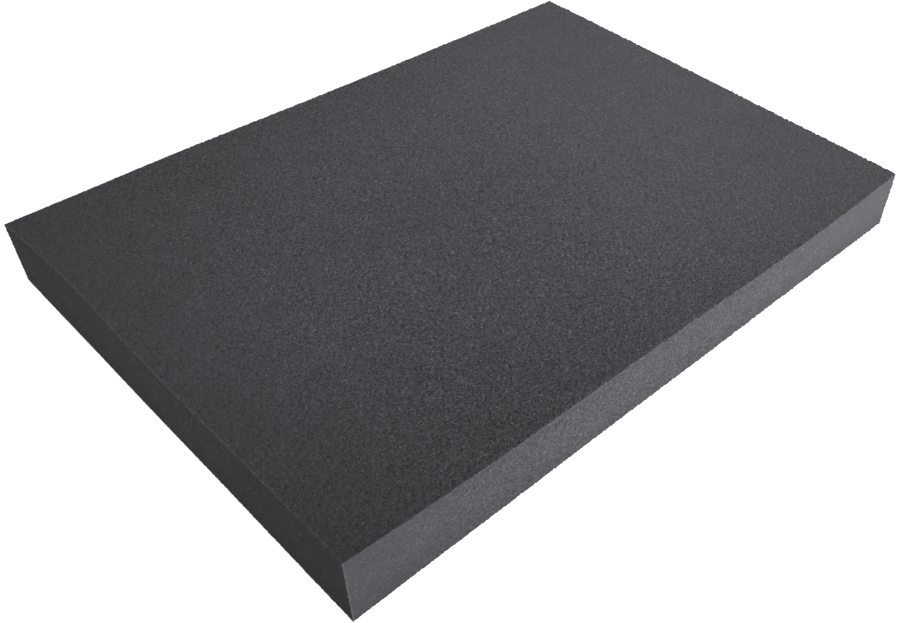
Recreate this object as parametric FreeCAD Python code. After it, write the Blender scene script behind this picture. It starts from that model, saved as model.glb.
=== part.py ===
import FreeCAD, Part
import os

# A rectangular slab of open-cell polyurethane foam, cut from one block.
# The slab is a single piece: it has no cover, lining, straps, glue lines or hardware. Its six
# faces are flat blade cuts that meet in sharp edges.
# Frame: +X along the length, +Y along the width, +Z up through the thickness. The origin is the
# middle of the underside, so the slab lies on the plane Z = 0.

# Driving dimensions, in millimetres. The large faces have the A3 paper format.
LENGTH = 420.0
WIDTH = 297.0
THICKNESS = 40.0


def make_foam_slab():
    """The whole slab as one closed solid, centred over the origin."""
    lowest_corner = FreeCAD.Vector(-LENGTH / 2, -WIDTH / 2, 0.0)
    return Part.makeBox(LENGTH, WIDTH, THICKNESS, lowest_corner)


def main():
    os.makedirs("parts", exist_ok=True)
    foam_slab = make_foam_slab()
    foam_slab.exportStep("parts/foam_slab.step")


main()
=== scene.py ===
import math
from itertools import product

import bpy
import numpy as np
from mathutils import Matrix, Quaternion, Vector


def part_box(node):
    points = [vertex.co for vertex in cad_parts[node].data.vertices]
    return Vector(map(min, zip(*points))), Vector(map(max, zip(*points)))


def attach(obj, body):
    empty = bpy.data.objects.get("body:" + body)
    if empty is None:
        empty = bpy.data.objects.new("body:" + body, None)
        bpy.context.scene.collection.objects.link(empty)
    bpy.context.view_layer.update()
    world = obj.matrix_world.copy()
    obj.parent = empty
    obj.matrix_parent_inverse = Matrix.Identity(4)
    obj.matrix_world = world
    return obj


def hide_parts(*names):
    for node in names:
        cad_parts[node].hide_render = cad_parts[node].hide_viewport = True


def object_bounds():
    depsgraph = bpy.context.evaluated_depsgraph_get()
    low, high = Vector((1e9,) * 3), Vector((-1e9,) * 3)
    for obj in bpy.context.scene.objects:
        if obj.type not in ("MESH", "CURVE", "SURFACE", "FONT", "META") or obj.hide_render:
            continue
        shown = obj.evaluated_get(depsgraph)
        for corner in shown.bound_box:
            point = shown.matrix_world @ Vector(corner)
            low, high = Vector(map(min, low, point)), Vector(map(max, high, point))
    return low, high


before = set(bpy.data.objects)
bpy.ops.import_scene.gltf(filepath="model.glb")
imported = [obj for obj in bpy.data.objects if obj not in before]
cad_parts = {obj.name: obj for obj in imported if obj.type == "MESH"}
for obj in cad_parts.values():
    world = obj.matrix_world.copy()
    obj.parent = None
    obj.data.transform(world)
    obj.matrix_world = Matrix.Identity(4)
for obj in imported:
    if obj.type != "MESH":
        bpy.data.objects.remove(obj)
cad_low, cad_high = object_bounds()

MM = 0.001
SEED = 7
WAVE_STREAM = 2                # each use of random numbers has a stream of its own
POINT_STREAM = 3

# ---- The slab's shape -------------------------------------------------------------------------
# One lattice of points runs over all six faces, about as fine as the foam's cells.
LATTICE_STEP = 0.75 * MM
POINT_JITTER = 0.28            # of a step, along the face, so that no rows show
CELL_ROUGHNESS = 0.035 * MM    # random height of each point
OPEN_CELL_SHARE = 0.06         # of the points are pores that the blade has opened
OPEN_CELL_DEPTH = 0.30 * MM
SHALLOWEST_OPEN_CELL = 0.5     # of that depth
WAVE_HEIGHT = 0.12 * MM        # slow wander of the blade
WAVE_LENGTHS = (90 * MM, 260 * MM)
WAVE_COUNT = 6
LEFT_FRAY = 0.12 * MM          # the most that fraying shifts a point on the sharp edges, each way
RIGHT_FRAY = 0.35 * MM         # the same at the right end
NICK_SHARE = 0.08              # of the points on the edges stand back, where cells are torn out
NICK_DEPTH = 0.35 * MM
SHALLOWEST_NICK = 0.4          # of that depth
SHARP_ANGLE = math.radians(62)  # only the slab's own edges are sharper than this

# The slab was trimmed by hand, so it is a little out of square. The keys say which end of X, Y and
# Z a corner is at, and the values how far it stands from its place in the box.
CORNERS_OUT_MM = {
    "-++": (-2.0, 0.5, 0.0),    # the left end flares out at the rear
    "--+": (-0.5, 1.5, 0.5),    # the front side leans back
    "+-+": (-0.5, 1.0, -0.5),
    "+++": (0.5, -0.5, 0.0),
    "---": (0.5, -1.0, 0.0),
    "+--": (0.5, 1.0, 1.5),     # the underside lifts at the right
    "-+-": (0.5, -0.5, -0.5),
}
# Where the blade wandered: the direction in which an edge bows, and the height of one, two and
# three half waves along it. The letter in the key is the axis that the edge runs along, and the
# signs are the ends of the other two axes that it lies at.
EDGE_WAVES_MM = {
    "x-+": ((0, -0.7, -0.7), (2.4, -0.3, 0.6)),   # top front edge, bulging
    "x++": ((0, 1, 0), (0.0, 1.0, 0.3)),          # top rear edge
    "-y+": ((1, 0, 0), (1.1, -0.9, 0.7)),         # top left edge, cut in
    "x--": ((0, 1, 0), (0.5, 0.2, 0.0)),          # bottom front edge, cut in
}

# How strongly the cut cells show, and with them the painted shade in the pores and the painted
# glints: most in the middle of the slab and on its long sides, less where handling has calmed the
# ends, and least on the short ends, which were cut with a finer blade.
# Each end calms from this share of the way out from the middle.
LEFT_CALM_FROM = 0.5
RIGHT_CALM_FROM = 0.0
END_GRAIN = 0.35
REAR_GRAIN = 0.8
LONG_SIDE_GRAIN = 0.95
SHORT_END_GRAIN = 0.4

# Painted light and shade, as brightness next to the middle of the top face: painted shade at the
# corners, with the ends of X and Y as keys, and at the foot of the sides, and on the edges a painted
# highlight where frayed cells catch the light and painted shade along the others.
PAINTED_CORNER_SHADE = {"--": 0.60, "+-": 0.78, "-+": 0.76, "++": 0.84}
CORNER_SHADE_FROM = 0.5       # half sides away from the middle
CORNER_SHADE_TO = 1.4
SHORT_END_SHADE_SHARE = 0.6      # of that painted corner shade reaches the short ends
# painted shade, darker towards the foot of the sides
LONG_SIDE_FOOT_SHADE = 0.77
SHORT_END_FOOT_SHADE = 0.70
# painted highlights along these edges, and painted shade along all the others
PAINTED_EDGE_HIGHLIGHTS = {"-y+": 1.35, "--z": 1.5, "x-+": 1.1}
PAINTED_EDGE_SHADE = 0.75
EDGE_WIDTH = 1.2 * MM

# Along the axis that it faces, a point's outward direction is 1 inside a face and 0.7 on an edge.
INSIDE_FACE = 0.9


# In the functions below, share is each point's place in the box, from 0 to 1 along each axis, and
# outward is the direction straight out of the slab there.

def random_numbers(stream):
    """A generator for one stream, so that one use never shifts another."""
    return np.random.default_rng([SEED, stream])


def shell_lattice(cells):
    """The points of a box-shaped lattice that lie on its surface, and the quads between them."""
    on_shell = np.zeros(cells + 1, bool)
    on_shell[[0, -1], :, :] = True
    on_shell[:, [0, -1], :] = True
    on_shell[:, :, [0, -1]] = True
    number = np.full(on_shell.shape, -1, np.int32)
    number[on_shell] = np.arange(on_shell.sum())
    quads = []
    for axis in range(3):
        for end in (0, -1):
            side = np.take(number, end, axis=axis)
            corners = [side[:-1, :-1], side[1:, :-1], side[1:, 1:], side[:-1, 1:]]
            faces_outward = (end == -1) == (axis != 1)
            if not faces_outward:
                corners.reverse()
            quads.append(np.stack(corners, axis=-1).reshape(-1, 4))
    return np.argwhere(on_shell), np.concatenate(quads)


def slow_waves(points):
    """A sum of long waves in random directions, of standard deviation about 1."""
    numbers = random_numbers(WAVE_STREAM)
    total = np.zeros(len(points))
    for _ in range(WAVE_COUNT):
        direction = numbers.normal(size=3)
        direction /= np.linalg.norm(direction)
        turns_per_metre = 1 / numbers.uniform(*WAVE_LENGTHS)
        phase = numbers.uniform(0, 2 * math.pi)
        total += np.sin(2 * math.pi * turns_per_metre * (points @ direction) + phase)
    return total * math.sqrt(2 / WAVE_COUNT)


def nearness(share, ends):
    """1 at the corner or edge that the key names, falling evenly to 0 at the opposite side."""
    weight = np.ones(len(share))
    for axis, end in enumerate(ends):
        if end == "+":
            weight *= share[:, axis]
        elif end == "-":
            weight *= 1 - share[:, axis]
    return weight


def out_of_square(share):
    """How far each point moves with the corners and with the waves of the edges."""
    moved = np.zeros(share.shape)
    for ends, offset in CORNERS_OUT_MM.items():
        moved += nearness(share, ends)[:, None] * np.array(offset) * MM
    for ends, (direction, heights) in EDGE_WAVES_MM.items():
        along = share[:, ends.index("x" if "x" in ends else "y")]
        wave = sum(height * np.sin(math.pi * (turn + 1) * along) for turn, height in enumerate(heights))
        moved += (nearness(share, ends) * wave)[:, None] * np.array(direction) * MM
    return moved


def smooth_ramp(value, start, end):
    """0 up to start, 1 from end on, and an S-curve between them."""
    ramp = np.clip((value - start) / (end - start), 0, 1)
    return ramp ** 2 * (3 - 2 * ramp)


def calmed(share):
    """How far handling has calmed the cut cells: 0 in the middle of the slab, 1 at its two ends."""
    from_middle = 2 * share[:, 0] - 1
    start = np.where(from_middle < 0, LEFT_CALM_FROM, RIGHT_CALM_FROM)
    return smooth_ramp(np.abs(from_middle), start, 1)


def cut_height(points, share, on_edge, numbers):
    """How far each point stands out of its face, with opened pores and torn nicks below it."""
    count = len(points)
    height = CELL_ROUGHNESS * numbers.standard_normal(count)
    height += WAVE_HEIGHT * slow_waves(points)
    opened = ~on_edge & (numbers.random(count) < OPEN_CELL_SHARE)
    height -= OPEN_CELL_DEPTH * opened * numbers.uniform(SHALLOWEST_OPEN_CELL, 1, count)
    nicked = on_edge & (numbers.random(count) < NICK_SHARE * (1 - calmed(share)))
    height -= NICK_DEPTH * nicked * numbers.uniform(SHALLOWEST_NICK, 1, count)
    return height


def scatter(share, outward, on_edge, numbers):
    """Random shifts: along the face for a point inside one, and any way for one on an edge."""
    size = (len(share), 3)
    along_face = numbers.uniform(-1, 1, size) * POINT_JITTER * LATTICE_STEP
    along_face[on_edge] = 0
    along_face -= outward * (along_face * outward).sum(axis=1)[:, None]
    fray_height = (LEFT_FRAY + (RIGHT_FRAY - LEFT_FRAY) * share[:, 0]) * on_edge
    return along_face + numbers.uniform(-1, 1, size) * fray_height[:, None]


def grain_strength(share, outward):
    """How strongly the cut cells show at each point."""
    grain = (1 + (END_GRAIN - 1) * calmed(share)) * (1 + (REAR_GRAIN - 1) * share[:, 1])
    grain[np.abs(outward[:, 0]) > INSIDE_FACE] *= SHORT_END_GRAIN
    grain[np.abs(outward[:, 1]) > INSIDE_FACE] *= LONG_SIDE_GRAIN
    return grain


def edge_names():
    """The twelve edges, named as in EDGE_WAVES_MM."""
    for axis, letter in enumerate("xyz"):
        for ends in product("-+", repeat=2):
            yield "".join(ends[:axis]) + letter + "".join(ends[axis:])


def edge_weight(share, size, edge):
    """1 on the named edge, falling to 0 at EDGE_WIDTH from it."""
    away = np.zeros(len(share))
    for axis, end in enumerate(edge):
        if end == "+":
            away += size[axis] * (1 - share[:, axis])
        elif end == "-":
            away += size[axis] * share[:, axis]
    return np.clip(1 - away / EDGE_WIDTH, 0, 1)


def painted_surface_shading(share, size, outward):
    """Painted light and shade: the brightness of each point next to the middle of the top face."""
    on_short_end = np.abs(outward[:, 0]) > INSIDE_FACE
    from_middle = np.hypot(2 * share[:, 0] - 1, 2 * share[:, 1] - 1)
    # painted shade, darker towards the corners of the top face
    corner_shade_reach = smooth_ramp(from_middle, CORNER_SHADE_FROM, CORNER_SHADE_TO)
    corner_shade_reach *= np.where(on_short_end, SHORT_END_SHADE_SHARE, 1)
    tone = np.ones(len(share))
    for ends, corner_shade in PAINTED_CORNER_SHADE.items():
        tone += (corner_shade - 1) * nearness(share, ends) * corner_shade_reach
    # painted shade, darker towards the foot of the sides
    foot_shade = np.where(on_short_end, SHORT_END_FOOT_SHADE, LONG_SIDE_FOOT_SHADE)
    tone *= 1 + (foot_shade - 1) * np.clip(1 - 2 * share[:, 2], 0, 1)

    # painted highlights along some edges and painted shade along the others
    for edge in edge_names():
        tone *= 1 + (PAINTED_EDGE_HIGHLIGHTS.get(edge, PAINTED_EDGE_SHADE) - 1) * edge_weight(share, size, edge)
    return tone


def quad_mesh(name, points, quads):
    """A smooth-shaded mesh, filled array by array because it has half a million quads."""
    mesh = bpy.data.meshes.new(name)
    mesh.vertices.add(len(points))
    mesh.vertices.foreach_set("co", points.astype(np.float32).ravel())
    mesh.loops.add(quads.size)
    mesh.loops.foreach_set("vertex_index", quads.ravel())
    mesh.polygons.add(len(quads))
    mesh.polygons.foreach_set("loop_start", np.arange(0, quads.size, 4, dtype=np.int32))
    mesh.polygons.foreach_set("use_smooth", np.ones(len(quads), bool))
    mesh.update(calc_edges=True)
    mesh.validate()
    return mesh


def slab_mesh():
    """The foam slab's closed mesh, with the attributes that its material reads."""
    low, high = (np.array(corner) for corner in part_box("foam_slab"))
    cells = np.rint((high - low) / LATTICE_STEP).astype(int)
    grid, quads = shell_lattice(cells)
    share = grid / cells
    points = low + share * (high - low)

    outward = (grid == cells).astype(float) - (grid == 0)
    on_edge = np.abs(outward).sum(axis=1) > 1
    outward /= np.linalg.norm(outward, axis=1)[:, None]

    numbers = random_numbers(POINT_STREAM)
    height = cut_height(points, share, on_edge, numbers)
    points = points + out_of_square(share) + outward * height[:, None]
    points += scatter(share, outward, on_edge, numbers)

    mesh = quad_mesh("foam_slab_cut", points, quads)
    attributes = {
        "grain": grain_strength(share, outward),
        "tone": painted_surface_shading(share, high - low, outward),
    }
    for name, values in attributes.items():
        mesh.attributes.new(name, "FLOAT", "POINT").data.foreach_set("value", values.astype(np.float32))
    mesh.set_sharp_from_angle(angle=SHARP_ANGLE)
    return mesh


# ---- The foam material ------------------------------------------------------------------------
CELL_SIZE = 0.72 * MM
FOAM_COLOUR = (0.0488, 0.0469, 0.0543)
TONE_CONTRAST = 0.6            # how far single cells are paler or darker than the foam
PORE_STARTS = 0.03             # of a cell in from its wall
PORE_DARKEST = 0.24
PORE_SHADE_CONTRAST = 0.46           # painted shade: how much darker a pore is than the struts round it
MEAN_PORE = 0.6                # of the surface lies in pores
GLINT_SHARE = 0.05             # of the cells still have a shining window
# painted highlight: how much paler the colour of a cell with a shining window is
PAINTED_GLINT_BRIGHTNESS = 1.1
GLINT_SMOOTHNESS = 0.35        # how much less rough such a window is
MOTTLE_SIZE = 18 * MM
MOTTLE_DETAIL = 3.0
MOTTLE_NOISE = (0.3, 0.7)      # this range of the noise makes this range of brightness
MOTTLE_BRIGHTNESS = (0.95, 1.05)
RELIEF_DEPTH = 0.25 * MM
FOAM_ROUGHNESS = 0.92
FOAM_SPECULAR = 0.15
SHEEN = 0.05
SHEEN_ROUGHNESS = 0.5


def add_node(tree, kind, **settings):
    """A new node with its properties and its unlinked inputs set by name."""
    node = tree.nodes.new(kind)
    for name, value in settings.items():
        if hasattr(node, name):
            setattr(node, name, value)
        else:
            node.inputs[name.replace("_", " ")].default_value = value
    return node


def map_range(tree, value, source, target, interpolation_type="LINEAR"):
    """The value, brought from its source range to the target range."""
    node = add_node(tree, "ShaderNodeMapRange", interpolation_type=interpolation_type,
                    From_Min=source[0], From_Max=source[1], To_Min=target[0], To_Max=target[1])
    tree.links.new(value, node.inputs["Value"])
    return node.outputs["Result"]


def calculate(tree, operation, *values):
    """The result of a Math node whose inputs are numbers or the outputs of other nodes."""
    node = add_node(tree, "ShaderNodeMath", operation=operation)
    for socket, value in zip(node.inputs, values):
        if isinstance(value, (int, float)):
            socket.default_value = value
        else:
            tree.links.new(value, socket)
    return node.outputs["Value"]


def foam_material():
    """Cut open-cell foam: struts round pores darkened with painted shade, and a few shining cell
    windows with a painted highlight.
    """
    material = bpy.data.materials.new("anthracite_foam")
    material.use_nodes = True
    tree = material.node_tree
    tree.nodes.clear()
    link = tree.links.new

    place = add_node(tree, "ShaderNodeTexCoord").outputs["Object"]
    struts = add_node(tree, "ShaderNodeTexVoronoi", feature="DISTANCE_TO_EDGE", Scale=1 / CELL_SIZE)
    cells = add_node(tree, "ShaderNodeTexVoronoi", feature="F1", Scale=1 / CELL_SIZE)
    mottle = add_node(tree, "ShaderNodeTexNoise", Scale=1 / MOTTLE_SIZE, Detail=MOTTLE_DETAIL)
    for texture in (struts, cells, mottle):
        link(place, texture.inputs["Vector"])
    grain = add_node(tree, "ShaderNodeAttribute", attribute_name="grain").outputs["Fac"]
    tone = add_node(tree, "ShaderNodeAttribute", attribute_name="tone").outputs["Fac"]

    pore = map_range(tree, struts.outputs["Distance"], (PORE_STARTS, PORE_DARKEST), (0.0, 1.0),
                     "SMOOTHSTEP")
    random_of_cell = add_node(tree, "ShaderNodeSeparateColor")
    link(cells.outputs["Color"], random_of_cell.inputs["Color"])
    glint = calculate(tree, "LESS_THAN", random_of_cell.outputs["Green"], GLINT_SHARE)

    # how much paler or darker than the plain foam each spot is: random cell tone, painted shade in the
    # pores and a painted highlight on the shining windows
    darkest_strut = MEAN_PORE * PORE_SHADE_CONTRAST - TONE_CONTRAST
    cell_tone = random_of_cell.outputs["Red"]
    speckle = calculate(tree, "MULTIPLY_ADD", cell_tone, 2 * TONE_CONTRAST, darkest_strut)
    # painted shade in the pores
    speckle = calculate(tree, "MULTIPLY_ADD", pore, -PORE_SHADE_CONTRAST, speckle)
    # painted highlight on the shining windows
    speckle = calculate(tree, "MULTIPLY_ADD", glint, PAINTED_GLINT_BRIGHTNESS, speckle)
    brightness = calculate(tree, "MULTIPLY_ADD", speckle, grain, 1.0)
    broad = map_range(tree, mottle.outputs["Fac"], MOTTLE_NOISE, MOTTLE_BRIGHTNESS)
    brightness = calculate(tree, "MULTIPLY", brightness, broad)
    # painted light and shade from the slab's attribute: at the corners, the foot of the sides and the
    # edges
    brightness = calculate(tree, "MULTIPLY", brightness, tone)
    colour = add_node(tree, "ShaderNodeVectorMath", operation="SCALE")
    colour.inputs[0].default_value = FOAM_COLOUR
    link(brightness, colour.inputs["Scale"])

    relief = add_node(tree, "ShaderNodeBump", Distance=RELIEF_DEPTH, invert=True)
    link(pore, relief.inputs["Height"])
    link(grain, relief.inputs["Strength"])

    foam = add_node(tree, "ShaderNodeBsdfPrincipled")
    foam.inputs["Specular IOR Level"].default_value = FOAM_SPECULAR
    foam.inputs["Sheen Weight"].default_value = SHEEN
    foam.inputs["Sheen Roughness"].default_value = SHEEN_ROUGHNESS
    link(colour.outputs["Vector"], foam.inputs["Base Color"])
    link(calculate(tree, "MULTIPLY_ADD", glint, -GLINT_SMOOTHNESS, FOAM_ROUGHNESS),
         foam.inputs["Roughness"])
    link(relief.outputs["Normal"], foam.inputs["Normal"])
    output = add_node(tree, "ShaderNodeOutputMaterial")
    link(foam.outputs["BSDF"], output.inputs["Surface"])
    return material


def foam_slab():
    """The slab that is seen, in the place of the plain solid."""
    mesh = slab_mesh()
    mesh.materials.append(foam_material())
    slab = bpy.data.objects.new("foam_slab_cut", mesh)
    bpy.context.scene.collection.objects.link(slab)
    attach(slab, "root")
    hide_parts("foam_slab")


# ---- Floor, light and camera ------------------------------------------------------------------
# the sweep, in metres
FLOOR_RADIUS = 5.0
BEND_RADIUS = 2.0              # where the floor turns up into the wall
WALL_HEIGHT = 6.0
SWEEP_SIDES = 64
BEND_STEPS = 8
SWEEP_COLOUR = (0.2, 0.2, 0.2, 1)
SWEEP_ROUGHNESS = 0.9
SWEEP_GLOW = 0.95              # lifts the sweep's grey to white
WHITE = (1.0, 1.0, 1.0, 1)
ROOM_COLOUR = (0.985, 1.0, 0.965, 1)
ROOM_STRENGTH = 0.54

# each light's place from the middle of the slab and its width and height in metres, and its watts
SOFTBOXES = {
    "front_softbox": ((0.44, -1.3, 0.16), 0.8, 0.3, 46),
    "top_softbox": ((0.5, 0.1, 0.5), 0.5, 0.5, 3.4),
}

CAMERA_PLACE_MM = (-345.8, -359.3, 380.4)   # from the middle of the slab
CAMERA_HEADING = math.radians(45.59)        # from +Y towards +X
CAMERA_DIP = math.radians(42.52)            # below the horizontal
CAMERA_ROLL = math.radians(2.9)
CAMERA_LENS = 42.56                         # millimetres, as is the sensor
CAMERA_SENSOR = 36.0
CAMERA_SHIFT = (-0.0525, 0.0119)
CAMERA_CLIP = (0.01, 50)


def sweep_profile():
    """The radius and height of each ring of the sweep, from the floor's rim to the wall's top."""
    bend = [math.pi / 2 * step / BEND_STEPS for step in range(BEND_STEPS + 1)]
    profile = [
        (FLOOR_RADIUS + BEND_RADIUS * math.sin(turn), BEND_RADIUS * (1 - math.cos(turn)))
        for turn in bend
    ]
    return profile + [(FLOOR_RADIUS + BEND_RADIUS, WALL_HEIGHT)]


def sweep_mesh(height):
    """A floor at the given height that turns up into a wall all round."""
    turns = [2 * math.pi * side / SWEEP_SIDES for side in range(SWEEP_SIDES)]
    corners = [(0, 0, height)]
    profile = sweep_profile()
    for radius, rise in profile:
        corners += [(radius * math.cos(turn), radius * math.sin(turn), height + rise) for turn in turns]
    faces = [(0, 1 + side, 1 + (side + 1) % SWEEP_SIDES) for side in range(SWEEP_SIDES)]
    for ring in range(len(profile) - 1):
        first = 1 + ring * SWEEP_SIDES
        for side in range(SWEEP_SIDES):
            here, beside = first + side, first + (side + 1) % SWEEP_SIDES
            faces.append((here, here + SWEEP_SIDES, beside + SWEEP_SIDES, beside))
    mesh = bpy.data.meshes.new("white_sweep")
    mesh.from_pydata(corners, [], faces)
    mesh.shade_smooth()
    return mesh


def sweep_material():
    """A dull surface that glows white, so that it is the same white all over."""
    material = bpy.data.materials.new("white_sweep")
    material.use_nodes = True
    surface = material.node_tree.nodes["Principled BSDF"]
    surface.inputs["Base Color"].default_value = SWEEP_COLOUR
    surface.inputs["Roughness"].default_value = SWEEP_ROUGHNESS
    surface.inputs["Specular IOR Level"].default_value = 0.0
    surface.inputs["Emission Color"].default_value = WHITE
    surface.inputs["Emission Strength"].default_value = SWEEP_GLOW
    return material


def white_sweep(height):
    """The background: the slab is lit by the room and the softboxes, and not by the sweep."""
    mesh = sweep_mesh(height)
    mesh.materials.append(sweep_material())
    sweep = bpy.data.objects.new("white_sweep", mesh)
    bpy.context.scene.collection.objects.link(sweep)
    sweep.visible_diffuse = False
    sweep.visible_glossy = False
    sweep.visible_shadow = False


def softbox(name, place, aim, width, height, power):
    """A rectangular soft light at place, turned towards aim."""
    lamp = bpy.data.lights.new(name, "AREA")
    lamp.shape = "RECTANGLE"
    lamp.size = width
    lamp.size_y = height
    lamp.energy = power
    light = bpy.data.objects.new(name, lamp)
    light.location = place
    light.visible_camera = False
    light.rotation_mode = "QUATERNION"
    light.rotation_quaternion = (aim - place).to_track_quat("-Z", "Y")
    bpy.context.scene.collection.objects.link(light)


def even_room_light():
    """Soft light from every side, as in a white room."""
    world = bpy.data.worlds.new("white_room")
    world.use_nodes = True
    background = world.node_tree.nodes["Background"]
    background.inputs["Color"].default_value = ROOM_COLOUR
    background.inputs["Strength"].default_value = ROOM_STRENGTH
    bpy.context.scene.world = world


def camera(centre):
    """Looks down on the slab over its front left corner."""
    direction = Vector((
        math.sin(CAMERA_HEADING) * math.cos(CAMERA_DIP),
        math.cos(CAMERA_HEADING) * math.cos(CAMERA_DIP),
        -math.sin(CAMERA_DIP),
    ))
    data = bpy.data.cameras.new("camera")
    data.sensor_width = CAMERA_SENSOR
    data.lens = CAMERA_LENS
    data.shift_x, data.shift_y = CAMERA_SHIFT
    data.clip_start, data.clip_end = CAMERA_CLIP
    eye = bpy.data.objects.new("camera", data)
    eye.location = centre + Vector(CAMERA_PLACE_MM) * MM
    eye.rotation_mode = "QUATERNION"
    eye.rotation_quaternion = (
        direction.to_track_quat("-Z", "Y") @ Quaternion((0, 0, 1), CAMERA_ROLL)
    )
    bpy.context.scene.collection.objects.link(eye)
    bpy.context.scene.camera = eye


centre = (cad_low + cad_high) / 2
camera(centre)
foam_slab()
white_sweep(cad_low.z)
even_room_light()
for name, (place, width, height, power) in SOFTBOXES.items():
    softbox(name, centre + Vector(place), centre, width, height, power)
bpy.context.scene.view_settings.view_transform = "Standard"
